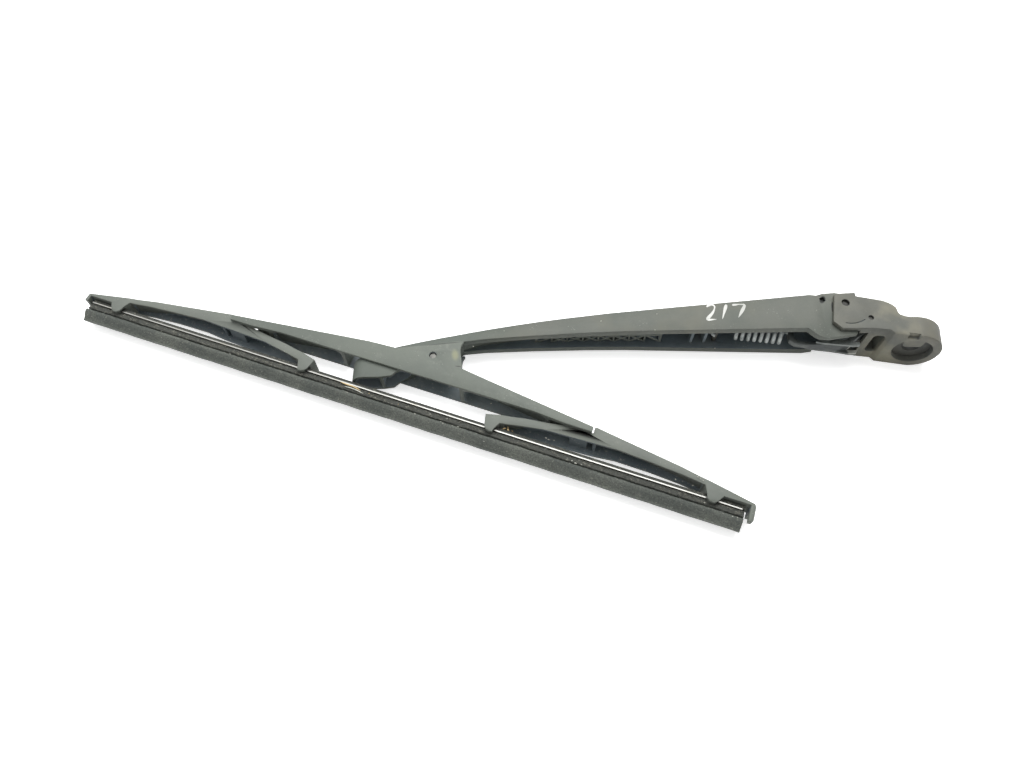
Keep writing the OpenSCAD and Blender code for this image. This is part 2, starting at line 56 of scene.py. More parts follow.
# Places that repeat the frame's driving sizes
HINGE = np.array([-35.0, 14.3, 0.0]) * MM
ARM_TURN = math.radians(9)
BLADE_TURN = math.radians(-19.4)
BLADE_LIE = ARM_TURN + BLADE_TURN
BLADE_PIN_ON_ARM = np.array([-196.6, -26.3, 0.0]) * MM
BLADE_PIN_ON_BLADE = np.array([9.4, 22.1, 0.0]) * MM
LINK_PIN = (-23.6, 7.3)
ARM_WIDTH = 23.9
ARM_TAPER = 0.0652


def turned(points, angle, origin):
    """Rows of points turned about Z by the angle, then moved to the origin."""
    c, s = math.cos(angle), math.sin(angle)
    turn = np.array([[c, s, 0], [-s, c, 0], [0, 0, 1]])
    return np.asarray(points, float) @ turn + origin


def on_arm(points):
    """Points of the arm's own frame, with the hinge at its origin, in the object's frame."""
    return turned(points, ARM_TURN, HINGE)


def on_blade(points):
    """Points (u, v, z) of the blade's own frame, its middle at its tips' level, in the object's frame."""
    from_pin = np.asarray(points, float) - BLADE_PIN_ON_BLADE
    return on_arm(turned(from_pin, BLADE_TURN, BLADE_PIN_ON_ARM))


def in_arm(points):
    """The reverse of on_arm."""
    return turned(np.asarray(points, float) - HINGE, -ARM_TURN, 0)


def in_blade(points):
    """The reverse of on_blade."""
    return turned(in_arm(points) - BLADE_PIN_ON_ARM, -BLADE_TURN, 0) + BLADE_PIN_ON_BLADE


def ringed(place, rings):
    """A stack of rings in millimetres through on_arm or on_blade."""
    return place(rings.reshape(-1, 3) * MM).reshape(rings.shape)


def half_width(x):
    """Half the arm's width, in millimetres, at x from the hinge."""
    return (ARM_WIDTH + x * ARM_TAPER) / 2


BLADE_ORIGIN = tuple(on_blade([[0, 0, 0]])[0])

# Camera at the photograph's viewing angle
PHOTO_W = 1024
FOCAL_PX = 740
SENSOR_MM = 36
cam_data = bpy.data.cameras.new("camera")
cam_data.sensor_width = SENSOR_MM
cam_data.lens = FOCAL_PX / PHOTO_W * SENSOR_MM
cam_data.clip_start = 0.01
camera = bpy.data.objects.new("camera", cam_data)
camera.location = (-0.1601, -0.2164, 0.3016)
camera.rotation_euler = (math.radians(29.5), 0, math.radians(9))
bpy.context.collection.objects.link(camera)
bpy.context.scene.camera = camera
bpy.context.scene.view_settings.view_transform = "Standard"


class Value:
    """A socket in one node tree. Python's operators on it add Math nodes."""

    def __init__(self, nodes, socket):
        self.nodes = nodes
        self.socket = socket

    def maths(self, operation, first, second):
        return self.nodes.node("ShaderNodeMath", {"operation": operation}, {0: first, 1: second})

    def __add__(self, other):
        return self.maths("ADD", self, other)

    def __mul__(self, other):
        return self.maths("MULTIPLY", self, other)

    def __sub__(self, other):
        return self.maths("SUBTRACT", self, other)

    def __rsub__(self, other):
        return self.maths("SUBTRACT", other, self)

    def ramp(self, low, high):
        """0 below low, 1 above high, and smooth between."""
        settings = {"interpolation_type": "SMOOTHSTEP"}
        return self.nodes.node("ShaderNodeMapRange", settings, {0: self, 1: low, 2: high})

    __radd__ = __add__
    __rmul__ = __mul__


class Nodes:
    """A node tree, with one method that makes any node in it."""

    def __init__(self, tree):
        self.tree = tree

    def node(self, kind, settings=None, inputs=None, output=0):
        made = self.tree.nodes.new(kind)
        for key, value in (settings or {}).items():
            setattr(made, key, value)
        for key, value in (inputs or {}).items():
            self.feed(made.inputs[key], value)
        return Value(self, made.outputs[output])

    def feed(self, socket, value):
        """Link a Value, or set a constant. Colours are given as three numbers."""
        if isinstance(value, Value):
            self.tree.links.new(value.socket, socket)
        elif socket.type == "RGBA":
            socket.default_value = (*value, 1.0)
        else:
            socket.default_value = value

    def ray(self, kind):
        """1 for rays of this kind, such as Camera, and 0 for others."""
        return self.node("ShaderNodeLightPath", output=f"Is {kind} Ray")


class Surface(Nodes):
    """One material under construction."""

    def __init__(self, name):
        self.material = bpy.data.materials.new(name)
        self.material.use_nodes = True
        super().__init__(self.material.node_tree)
        self.shader = self.tree.nodes["Principled BSDF"]
        self.place = self.node("ShaderNodeTexCoord", output="Object")

    def set(self, **values):
        for key, value in values.items():
            self.feed(self.shader.inputs[key.replace("_", " ")], value)

    def scaled(self, place, factors):
        return self.node("ShaderNodeVectorMath", {"operation": "MULTIPLY"}, {0: place, 1: factors})

    def noise(self, scale, detail=3.0, rough=0.55, stretch=None, where=None):
        place = where or self.place
        if stretch:
            place = self.scaled(place, stretch)
        return self.node("ShaderNodeTexNoise", {}, {
            "Vector": place, "Scale": scale, "Detail": detail, "Roughness": rough})

    def mix(self, factor, a, b):
        """Colour a where the factor is 0 and b where it is 1."""
        return self.node("ShaderNodeMix", {"data_type": "RGBA"}, {"Factor": factor, 6: a, 7: b}, 2)

    def bump(self, height, distance, strength):
        self.set(Normal=self.node("ShaderNodeBump", {}, {
            "Height": height, "Distance": distance, "Strength": strength}))

    def framed(self, place, origin, turn, scale=(1, 1, 1)):
        """The place as seen from a frame with this origin, turned about Z, with this scale."""
        return self.node("ShaderNodeMapping", {"vector_type": "TEXTURE"}, {
            "Vector": place, "Location": tuple(origin), "Rotation": (0, 0, turn), "Scale": scale})

    def blade(self):
        """The place in the blade's frame."""
        return self.framed(self.place, BLADE_ORIGIN, BLADE_LIE)

    def axis(self, letter, place=None):
        """One coordinate of the place, of the object's own place where none is given."""
        return self.node("ShaderNodeSeparateXYZ", {}, {0: place or self.place}, letter)

    def reach(self, place, kept):
        """The distance from the origin over the axes that are kept."""
        flat = self.scaled(place, kept)
        return self.node("ShaderNodeVectorMath", {"operation": "LENGTH"}, {0: flat}, "Value")

    def spot(self, place, middle, turn, half_axes, soft):
        """1 inside an ellipse and 0 outside: its middle (mm), turn (degrees) and half axes (mm)."""
        local = self.framed(place, (middle[0] * MM, middle[1] * MM, 0), math.radians(turn),
                            (half_axes[0] * MM, half_axes[1] * MM, 1.0))
        return 1 - self.reach(local, (1, 1, 0)).ramp(1 - soft, 1 + soft)


def weathered_plastic(name, lit, shade, dust, lumpy=0.0, paint=None):
    """Glass filled moulding gone grey: soft cloudy tone, fine grain, pale dust, and lumps of dirt if lumpy.

    paint gives pairs of a mask and a colour, laid over the rest in their order.
    """
    s = Surface(name)
    clouds = s.noise(38, 5, 0.6).ramp(0.35, 0.68)
    grain = s.noise(2600, 2, 0.5)
    fine = s.noise(900, 3, 0.6)
    specks = s.noise(1500, 1, 0.4).ramp(0.69, 0.74)
    colour = s.mix(clouds, shade, lit)
    colour = s.mix(grain.ramp(0.3, 0.7) * 0.35, colour, shade)
    colour = s.mix(specks * s.noise(120, 2).ramp(0.5, 0.62) * 0.55, colour, dust)
    if lumpy:
        lumps = s.noise(620, 4, 0.7).ramp(0.56, 0.7) * s.noise(90, 3).ramp(0.42, 0.6)
        colour = s.mix(lumps * lumpy, colour, dust)
    for stain, tone in (paint(s) if paint else ()):
        colour = s.mix(stain, colour, tone)
    s.set(Base_Color=colour, Roughness=0.52 + fine * 0.22, Specular_IOR_Level=0.4)
    s.bump(grain * 0.5 + fine * 0.5, 0.00006, 0.5)
    return s.material


def arm_paint(s):
    """Painted shadows in a rhombic hole and in two gaps by the ear at the hinge end of the arm, warm patches,
    and a cooler tone at its finger.
    """
    arm = s.framed(s.place, HINGE, ARM_TURN)
    warm = s.noise(24, 3).ramp(0.5, 0.7) * 0.35
    cool = 1 - s.axis("X", arm).ramp(-186 * MM, -150 * MM)
    # Painted shadows: dark spots in the rhombic hole and in two gaps by the ear
    marks = (((-9.5, 3.45), 62, (2.3, 1.35)), ((-5.6, -0.8), 80, (2.9, 0.5)),
             ((-10.9, 6.6), 110, (1.2, 0.35)))
    return [(warm, (0.165, 0.158, 0.118)), (cool * 0.7, (0.094, 0.112, 0.096))] + [
        (s.spot(arm, *mark, 0.2), (0.012, 0.014, 0.012)) for mark in marks]


def hollow_paint(s):
    """The arm's inside: the arm's own painted shadows and tints, and painted light that makes the finger's
    hollow paler.
    """
    # Painted light: the hollow of the finger is made paler
    finger = 1 - s.axis("X").ramp(-222 * MM, -212 * MM)
    return arm_paint(s) + [(finger, (0.25, 0.29, 0.31))]


def pale_wear(s):
    """Small pale rubbed patches."""
    return [(s.noise(200, 4, 0.7).ramp(0.56, 0.72) * 0.25, (0.24, 0.25, 0.22))]


def yoke_paint(s):
    """A painted shadow line along the cheek's top edge, the cheek's yellowish spot, a short dark mark and
    pale wear.
    """
    blade = s.blade()
    # The first mark is a painted shadow along the cheek's top edge
    marks = [(s.spot(blade, (11.8, 29.6), 26, (8.2, 0.28), 0.6) * 0.7, (0.035, 0.038, 0.034)),
             (s.spot(blade, (19.2, 25.6), -62, (2.6, 1.4), 0.6) * 0.5, (0.30, 0.30, 0.17)),
             (s.spot(blade, (23.0, 20.3), 12, (1.5, 0.3), 0.6) * 0.8, (0.04, 0.04, 0.036))]
    return marks + pale_wear(s)


def corner_shade(s):
    """Painted shade in the corner between the primary yoke's web and the arm's finger."""
    return [(s.spot(s.blade(), (-28.4, 14.6), 45, (4.6, 3.6), 0.6) * 0.85, (0.060, 0.072, 0.076))]


def head_paint(s):
    """Warm weathering on the crown, a cooler ear, painted shade in the pin holes and painted shade in the
    round seat, darkest deep in.
    """
    height, along = s.axis("Y"), s.axis("X")
    # Painted shade inside the round seat, darkest deep in
    seat = 1 - s.reach(s.place, (1, 0, 1)).ramp(8.9 * MM, 9.15 * MM)
    seat = seat * height.ramp(0.15 * MM, 0.6 * MM)
    crown = along.ramp(-27 * MM, -17 * MM)
    clouds = s.noise(45, 3, 0.6).ramp(0.36, 0.60)
    return [(clouds * (0.12 + crown * 0.40), (0.280, 0.264, 0.190)),
            ((1 - crown) * 0.35, (0.098, 0.102, 0.090)),
            # Painted shade in the hinge and link pin holes
            (s.spot(s.place, HINGE / MM, 0, (2.0, 2.0), 0.08), (0.020, 0.021, 0.018)),
            (s.spot(s.place, LINK_PIN, 0, (1.35, 1.35), 0.08), (0.024, 0.025, 0.021)),
            (along.ramp(-7 * MM, 1 * MM) * 0.6, (0.104, 0.104, 0.090)),
            # Painted shade in the round seat, darker deeper in
            (seat * 0.45, (0.056, 0.059, 0.052)),
            (seat * height.ramp(2.6 * MM, 3.3 * MM) * 0.7, (0.022, 0.024, 0.022))]


def link_paint(s):
    """The pressed channel along the link, painted as streaked dark shade, and a painted glint on the far
    flange's end.
    """
    across = s.axis("Z")
    # Painted shade: the channel between the flanges is dark, with streaks
    inside = 1 - (across * across).ramp(3.2 * MM * MM, 7.0 * MM * MM)
    inside = inside * s.axis("X").ramp(-52 * MM, -47 * MM)
    streaks = s.noise(1.0, 3, 0.6, (90.0, 90.0, 900.0))
    # Painted highlight: a pale glint at the far flange's end
    from_flange = across + 2.4 * MM
    glint = s.spot(s.place, (-26.4, 0.8), 5, (3.6, 9.0), 0.15) * from_flange.ramp(-0.9 * MM, -0.5 * MM)
    glint = glint * (1 - from_flange.ramp(0.4 * MM, 0.8 * MM))
    return [(inside * (0.45 + streaks * 0.6), (0.022, 0.027, 0.028)),
            (glint * 0.9, (0.50, 0.50, 0.45))]


def rubber_surface(name):
    """Old wiper rubber: green grey and dusty in long streaks, rough and browner just under the rail."""
    s = Surface(name)
    blade = s.blade()
    under_rail = s.axis("Y", blade).ramp(-6.4 * MM, -6.0 * MM)
    streaks = s.noise(1.0, 4, 0.6, (14.0, 260.0, 260.0), blade).ramp(0.35, 0.7)
    patches = s.noise(60, 5, 0.7).ramp(0.4, 0.68)
    grain = s.noise(1500, 4, 0.75)
    crumbly = s.noise(1.0, 4, 0.72, (420.0, 900.0, 900.0), blade).ramp(0.48, 0.68)
    specks = s.noise(950, 2, 0.6).ramp(0.64, 0.71)
    threads = s.noise(1.0, 3, 0.6, (60.0, 1600.0, 900.0), blade).ramp(0.52, 0.66)
    pale_grain = s.noise(1250, 3, 0.7).ramp(0.56, 0.68)
    colour = s.mix(streaks, (0.066, 0.075, 0.066), (0.104, 0.114, 0.099))
    colour = s.mix(patches * 0.75, colour, (0.150, 0.160, 0.136))
    colour = s.mix(grain.ramp(0.42, 0.60) * 0.6, colour, (0.040, 0.046, 0.041))
    colour = s.mix(pale_grain * 0.35, colour, (0.20, 0.21, 0.18))
    dirty = s.mix(crumbly, (0.040, 0.042, 0.036), (0.225, 0.222, 0.185))
    dirty = s.mix(threads * 0.6, dirty, (0.032, 0.033, 0.028))
    colour = s.mix(under_rail * 0.8, colour, dirty)
    colour = s.mix(specks * 0.45, colour, (0.32, 0.31, 0.27))
    s.set(Base_Color=colour, Roughness=0.62 + grain * 0.25)
    s.bump(grain + under_rail * crumbly, 0.0005, 0.9)
    return s.material


def bright_steel(name, tone, stain, rough):
    """Drawn strip with a long grain and faint stains."""
    s = Surface(name)
    along = s.node("ShaderNodeMapping", {"vector_type": "POINT"}, {
        "Vector": s.place, "Rotation": (0, 0, -BLADE_LIE)})
    grain = s.noise(1.0, 2, 0.5, (30.0, 4000.0, 4000.0), along)
    patches = s.noise(90, 3, 0.6).ramp(0.55, 0.75)
    s.set(Base_Color=s.mix(patches * 0.5, tone, stain), Roughness=rough + grain * 0.15, Metallic=1.0)
    return s.material


def dull_steel(name, tone, stain, metallic=0.6, paint=None):
    """Coated steel, dull and dusty."""
    s = Surface(name)
    patches = s.noise(260, 4, 0.65).ramp(0.42, 0.66)
    fine = s.noise(1600, 3)
    colour = s.mix(patches, tone, stain)
    for mark, shade in (paint(s) if paint else ()):
        colour = s.mix(mark, colour, shade)
    s.set(Base_Color=colour, Roughness=0.42 + fine * 0.25, Metallic=metallic)
    s.bump(fine, 0.00004, 0.5)
    return s.material


DUST = (0.34, 0.34, 0.31)
HOLLOW_DUST = (0.42, 0.43, 0.39)
HOLLOW_SHADE = (0.112, 0.140, 0.154)
LUMPY = 0.9
ARM_PLASTIC = weathered_plastic(
    "arm_plastic", (0.120, 0.126, 0.109), (0.093, 0.104, 0.089), DUST, paint=arm_paint)
HEAD_PLASTIC = weathered_plastic(
    "head_plastic", (0.146, 0.143, 0.118), (0.102, 0.106, 0.092), (0.30, 0.29, 0.25), paint=head_paint)
YOKE_PLASTIC = weathered_plastic(
    "yoke_plastic", (0.144, 0.160, 0.136), (0.116, 0.131, 0.114), DUST, paint=yoke_paint)
SECOND_PLASTIC = weathered_plastic(
    "second_yoke_plastic", (0.160, 0.174, 0.149), (0.130, 0.143, 0.126), DUST, paint=pale_wear)
# The inner materials go on faces in hollows and under blocks: their cooler, bluish tone is painted shade,
# over real dust and lumps of dirt
INNER_PLASTIC = weathered_plastic(
    "inner_plastic", (0.190, 0.226, 0.240), HOLLOW_SHADE, HOLLOW_DUST, LUMPY)
HEAD_INNER = weathered_plastic(
    "head_inner", (0.150, 0.180, 0.196), (0.090, 0.112, 0.124), (0.36, 0.37, 0.34), LUMPY, head_paint)
PRIMARY_INNER = weathered_plastic(
    "primary_inner", (0.300, 0.335, 0.338), (0.170, 0.202, 0.214), (0.46, 0.47, 0.42), LUMPY,
    corner_shade)
ARM_INNER = weathered_plastic(
    "arm_inner", (0.180, 0.214, 0.230), HOLLOW_SHADE, HOLLOW_DUST, paint=hollow_paint)
INNER = {"arm_head": HEAD_INNER, "primary_yoke": PRIMARY_INNER, "arm_beam": ARM_INNER}
MARKER_WHITE = weathered_plastic("marker_white", (0.74, 0.74, 0.71), (0.46, 0.47, 0.44), (0.7, 0.7, 0.68))
# Real crumbs, with colours brightened: painted light, so that crumbs in the shade of the yoke's arch still
# show pale
CRUMB_PALE = weathered_plastic("crumb_pale", (0.62, 0.63, 0.56), (0.40, 0.40, 0.35), (0.75, 0.75, 0.70))
CRUMB_TAN = weathered_plastic("crumb_tan", (0.62, 0.47, 0.24), (0.34, 0.24, 0.12), (0.75, 0.70, 0.50))
RUBBER = rubber_surface("dusty_rubber")
RAIL_STEEL = bright_steel("rail_steel", (0.27, 0.27, 0.255), (0.20, 0.19, 0.15), 0.34)
# Painted shade: dark faces on the rails' tops and undersides
RAIL_PAINTED_SHADE = dull_steel("rail_underside", (0.060, 0.062, 0.056), (0.12, 0.12, 0.10), 0.3)
SPRING_STEEL = dull_steel("spring_wire", (0.34, 0.36, 0.35), (0.20, 0.22, 0.21))
# Painted light: a paler copy of the link's steel for the near flange, which lies in the skirt's shade
LINK_PAINTED_LIGHT = dull_steel("link_near_flange", (0.165, 0.18, 0.17), (0.11, 0.12, 0.115), 0.3)
LINK_STEEL = dull_steel("link_strip", (0.092, 0.101, 0.094), (0.064, 0.073, 0.070), 0.2, link_paint)
PIN_STEEL = dull_steel("pin_steel", (0.16, 0.16, 0.145), (0.09, 0.09, 0.085), 0.4)
# Near-black steel for the hinge, link and anchor pins
PIN_NEAR_BLACK = dull_steel("pin_near_black", (0.014, 0.014, 0.012), (0.050, 0.050, 0.040), 0.1)


def smooth(t):
    """0 below 0, 1 above 1, and smooth between."""
    t = min(max(t, 0), 1)
    return t * t * (3 - 2 * t)


def add_piece(name, mesh, material, smooth_angle=None):
    """A new smooth shaded object with one material, and sharp edges past the angle in degrees, if given."""
    obj = bpy.data.objects.new(name, mesh)
    bpy.context.collection.objects.link(obj)
    mesh.materials.clear()
    mesh.materials.append(material)
    mesh.polygons.foreach_set("use_smooth", [True] * len(mesh.polygons))
    if smooth_angle:
        mesh.set_sharp_from_angle(angle=math.radians(smooth_angle))
    return obj


def tube(name, rings, material, smooth_angle=None):
    """A closed object from a stack of rings, shaped (rings, corners, 3), with a cap at both ends."""
    count, corners = rings.shape[:2]
    index = np.arange(count * corners).reshape(count, corners)
    beside = np.roll(index, -1, axis=1)
    quads = np.stack([index[:-1], beside[:-1], beside[1:], index[1:]], axis=-1)
    faces = quads.reshape(-1, 4).tolist() + [index[0][::-1].tolist(), index[-1].tolist()]
    mesh = bpy.data.meshes.new(name)
    mesh.from_pydata(rings.reshape(-1, 3).tolist(), [], faces)
    mesh.validate()
    mesh.update()
    return add_piece(name, mesh, material, smooth_angle)


def extruded(along, outline):
    """Rings of one outline, rows of (height, side), at each place along X."""
    rings = np.zeros((len(along), len(outline), 3))
    rings[:, :, 0] = along[:, None]
    rings[:, :, 1:] = outline
    return rings


def swept(path, radius, sides=16):
    """Rings of a round wire: at each point of the path, radius times (cos a, sin a) square to the path."""
    ahead = np.gradient(path, axis=0)
    ahead /= np.linalg.norm(ahead, axis=1)[:, None]
    side = np.cross(ahead, [0.02, 0.05, 1.0])
    side /= np.linalg.norm(side, axis=1)[:, None]
    up = np.cross(ahead, side)
    a = np.linspace(0, 2 * np.pi, sides, endpoint=False)
    ring = np.cos(a)[None, :, None] * side[:, None] + np.sin(a)[None, :, None] * up[:, None]
    return path[:, None] + radius * ring


def eased(knots, count, rounds):
    """A path of even steps through the knots, averaged with its neighbours in each round, and its steps."""
    knots = np.array(knots, float)
    t = np.linspace(0, len(knots) - 1, count)
    path = np.stack([np.interp(t, np.arange(len(knots)), column) for column in knots.T], 1)
    for _ in range(rounds):
        path[1:-1] = (path[:-2] + 2 * path[1:-1] + path[2:]) / 4
    return path, t


SHUT_IN_REACH = 0.03
SHUT_IN_RAYS = 40
OFF_THE_FACE = 2e-5


def shut_in(mesh):
    """For each face, the share of the half sphere over it that the piece itself covers nearby."""
    tree = BVHTree.FromPolygons([v.co for v in mesh.vertices], [p.vertices for p in mesh.polygons])
    k = np.arange(SHUT_IN_RAYS) + 0.5
    height = np.sqrt(1 - k / SHUT_IN_RAYS)
    spin = np.pi * (1 + 5 ** 0.5) * k
    ring = np.sqrt(1 - height ** 2)
    covered = np.zeros(len(mesh.polygons))
    weight = np.zeros(len(mesh.polygons))
    mesh.calc_loop_triangles()
    for tri in mesh.loop_triangles:
        n = tri.normal
        a = n.orthogonal().normalized()
        b = n.cross(a)
        corners = [mesh.vertices[i].co for i in tri.vertices]
        start = (corners[0] + corners[1] + corners[2]) / 3 + n * OFF_THE_FACE
        hits = 0
        for h, r, t in zip(height, ring, spin):
            way = n * float(h) + a * float(r * math.cos(t)) + b * float(r * math.sin(t))
            hits += tree.ray_cast(start, way, SHUT_IN_REACH)[0] is not None
        covered[tri.polygon_index] += tri.area * hits / SHUT_IN_RAYS
        weight[tri.polygon_index] += tri.area
    return covered / np.maximum(weight, 1e-12)


# Finished forms of the CAD's mouldings
MERGE = 1e-6
FLAT = math.radians(0.8)
SHARP = math.radians(32)
# A covered share that no face reaches
NEVER = 2.0


def moulded(node, body, material, width, segments, inner_from, reshape=None, deep=None):
    """A CAD node's own form with its doubles merged, flats joined and edges rounded by width (mm).

    Faces that the piece covers by more than inner_from, and those that deep picks, get the inner
    material, which paints shade into them. reshape moves the vertices of the copy.
    """
    bm = bmesh.new()
    bm.from_mesh(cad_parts[node].data)
    bmesh.ops.remove_doubles(bm, verts=bm.verts, dist=MERGE)
    bmesh.ops.dissolve_limit(bm, angle_limit=FLAT, verts=bm.verts, edges=bm.edges)
    if reshape:
        bmesh.ops.triangulate(bm, faces=bm.faces)
        reshape(bm)
    mesh = bpy.data.meshes.new(node + "_finish")
    bm.to_mesh(mesh)
    bm.free()
    obj = add_piece(node + "_finish", mesh, material)
    mesh.materials.append(INNER.get(node, INNER_PLASTIC))
    for face, part in zip(mesh.polygons, shut_in(mesh)):
        face.material_index = int(part > inner_from or bool(deep and deep(face)))
    bevel = obj.modifiers.new("edges", "BEVEL")
    bevel.width = width * MM
    bevel.segments = segments
    bevel.limit_method = "ANGLE"
    bevel.angle_limit = SHARP
    bevel.use_clamp_overlap = True
    bevel.harden_normals = True
    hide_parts(node)
    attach(obj, body)


EAR_LIFT = 2.6
WALL_DROP = 0.9
HOOK_WIDTH = 0.34


def lift_far_ear(bm):
    """The far ear's lower corner lies higher than the near one's: fades in over 7 mm along, 3 mm up."""
    for vert in bm.verts:
        x, y, z = np.array(vert.co) / MM
        if z < -10 and y < 6:
            vert.co.y += EAR_LIFT * MM * smooth((-24 - x) / 7) * smooth((6 - y) / 3)


def beside_spring(face):
    """Faces inside the channel round the spring's anchor, which get painted shade."""
    x, y, z = in_arm([face.center])[0] / MM
    return -84 < x < -48 and y < -2 and abs(z) < 6.8


def under_pin(face):
    """The underside of a secondary yoke's block, round its pin, which gets painted shade."""
    u, v, z = in_blade([face.center])[0] / MM
    ahead = in_blade([np.array(face.center) + np.array(face.normal) * MM])[0] / MM
    return 64 < abs(u) < 96 and v < 11 and abs(z) < 4.6 and ahead[1] - v < -0.6


def lower_far_wall(bm):
    """The far wall of a secondary yoke reaches down to the rail between the pin and the inner claws."""
    down = np.array([math.sin(BLADE_LIE), -math.cos(BLADE_LIE)])
    for vert in bm.verts:
        u, v, z = in_blade([vert.co])[0] / MM
        if z < -3 and v < 3.2 and 46 < abs(u) < 88:
            drop = WALL_DROP * MM * smooth((abs(u) - 46) / 6) * smooth((90 - abs(u)) / 8)
            vert.co.x += drop * down[0]
            vert.co.y += drop * down[1]


def narrow_hook(bm):
    """The link's strip gets narrower towards the spring, and is full from 8 mm before the hinge on."""
    for vert in bm.verts:
        x = in_arm([vert.co])[0][0] / MM
        vert.co.z *= HOOK_WIDTH + (1 - HOOK_WIDTH) * smooth((x + 20) / 12)


moulded("arm_head", "head", HEAD_PLASTIC, width=0.4, segments=3, inner_from=0.5,
        reshape=lift_far_ear)
moulded("arm_beam", "arm", ARM_PLASTIC, width=0.3, segments=2, inner_from=0.4,
        deep=beside_spring)
moulded("primary_yoke", "blade", YOKE_PLASTIC, width=0.25, segments=2, inner_from=0.42)
for side in ("left", "right"):
    moulded(side + "_yoke", "yoke_" + side, SECOND_PLASTIC, width=0.2, segments=2,
            inner_from=0.36, reshape=lower_far_wall, deep=under_pin)
moulded("spring_link", "link", LINK_STEEL, width=0.3, segments=2, inner_from=NEVER,
        reshape=narrow_hook)

# Flanges of the pressed link: material, from z, to z, lower edge, upper edge
FLANGES = {
    "far": (LINK_STEEL, -4.0, -2.6,
            ((-50.4, -3.4), (-48, -4.0), (-44, -4.1), (-38, -3.9), (-33, -4.0), (-28.9, -4.2),
             (-25.4, -3.7)),
            ((-50.8, -1.6), (-48, -1.6), (-44.5, -1.7), (-39.7, -2.0), (-33.5, -2.4), (-28, -2.3),
             (-24.6, -1.6))),
    "near": (LINK_PAINTED_LIGHT, 2.8, 4.0,
             ((-46.4, -4.4), (-45, -4.6), (-43, -4.6), (-38, -4.4), (-33, -4.1), (-28.9, -4.0),
              (-26, -3.3)),
             ((-46.4, -4.2), (-45, -3.4), (-43, -2.6), (-38, -1.6), (-33, -1.6), (-28.9, -1.6),
              (-25.8, -1.4)))}


def link_flange(name, material, z_from, z_to, low, top):
    """A flat plate: each ring joins a point of the lower edge to one of the upper edge, at both depths."""
    rings = np.zeros((len(low), 4, 3))
    for k, (edge, z) in enumerate(((low, z_to), (top, z_to), (top, z_from), (low, z_from))):
        rings[:, k, :2] = edge
        rings[:, k, 2] = z
    piece = tube(name, rings * MM, material, 35)
    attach(piece, "link")


for which, flange in FLANGES.items():
    link_flange("link_flange_" + which, *flange)

# Tab at the near rim of the round opening: corners (x, z), then the level and the inset of each ring
TAB = np.array([(-6.6, 6.6), (-6.2, 4.6), (-5.6, 3.3), (-4.6, 2.8), (1.4, 3.9), (2.2, 4.5), (2.5, 6.0),
                (2.7, 8.9), (-2.0, 9.15)])
TAB_RINGS = ((0.05, 0.04), (0.3, 0), (2.2, 0), (2.4, 0.04))


def rim_tab():
    """A flat tab that closes part of the opening: the outline at each level, drawn in to its middle."""
    middle = TAB.mean(0)
    rings = [np.insert(middle + (TAB - middle) * (1 - inset), 1, level, axis=1)
             for level, inset in TAB_RINGS]
    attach(tube("rim_tab", np.stack(rings) * MM, HEAD_PLASTIC, 35), "head")


# Tension spring, in the arm's frame
SPRING_R = 3.8
WIRE_R = 0.95
PITCH = 2.95
TURNS = 8
STEPS_A_TURN = 40
SPRING_START = np.array([-51.2, -7.5, 0.2])
SPRING_LEAN = np.array([1.0, -0.125, 0.0])
SPRING_SHEAR = 0.22
ANCHOR = np.array([-60.0, -8.4, 0.0])
EYE_R = 2.2
NARROW_TURN = 0.4
NARROW_BY = 0.35
END_HOOK = np.array([[1.4, -1.2, 0.3], [2.4, -2.0, 0.1]])


def tension_spring():
    """The axis point grows with the angle while the wire goes round it: one full turn for each pitch.

    An eye round the anchor pin comes first, then a short lead. The last part of a turn narrows towards
    the hook on the link.
    """
    turn = 2 * np.pi
    a = np.linspace(0, TURNS * turn, TURNS * STEPS_A_TURN + 1)
    axis = SPRING_START + SPRING_LEAN * (PITCH * a / turn)[:, None]
    last = np.clip((a - (TURNS - NARROW_TURN) * turn) / (NARROW_TURN * turn), 0, 1)
    radius = SPRING_R * (1 - NARROW_BY * last ** 2)
    lean = SPRING_LEAN / np.linalg.norm(SPRING_LEAN)
    up = np.array([-lean[1] + SPRING_SHEAR, lean[0], 0])
    coil = axis + (radius * np.cos(a))[:, None] * up + (radius * np.sin(a))[:, None] * [0, 0, 1]
    hook = np.radians(np.arange(250, -1, -15))
    eye = ANCHOR + EYE_R * np.stack([np.cos(hook), np.sin(hook), 0 * hook], 1)
    lead = eye[-1] + (coil[0] - eye[-1]) * np.linspace(0.25, 0.8, 5)[:, None]
    path = np.vstack([eye, lead, coil, coil[-1] + END_HOOK])
    piece = tube("spring_coil", ringed(on_arm, swept(path, WIRE_R)), SPRING_STEEL)
    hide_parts("tension_spring")
    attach(piece, "arm")


rim_tab()
tension_spring()

# Fine ribs half a cell off the arm's crossed ribs. The edge level is the CAD's, at x from the hinge
RIB_FIRST = -147.8
RIB_PITCH = 15.15
RIB_EDGE = np.array([(-176, -17.1), (-150, -15.3), (-123, -14.1), (-104, -13.6), (-60, -13.6)])
RIB_SET = 3.2
RIB_WALL = 3.2
RIB_HALF_T = 0.45
RIB_TALL = 3.0
RIB_STEPS = 7
RIB_CORNERS = np.array([(1, 0), (-1, 0), (-1, 1), (1, 1)])


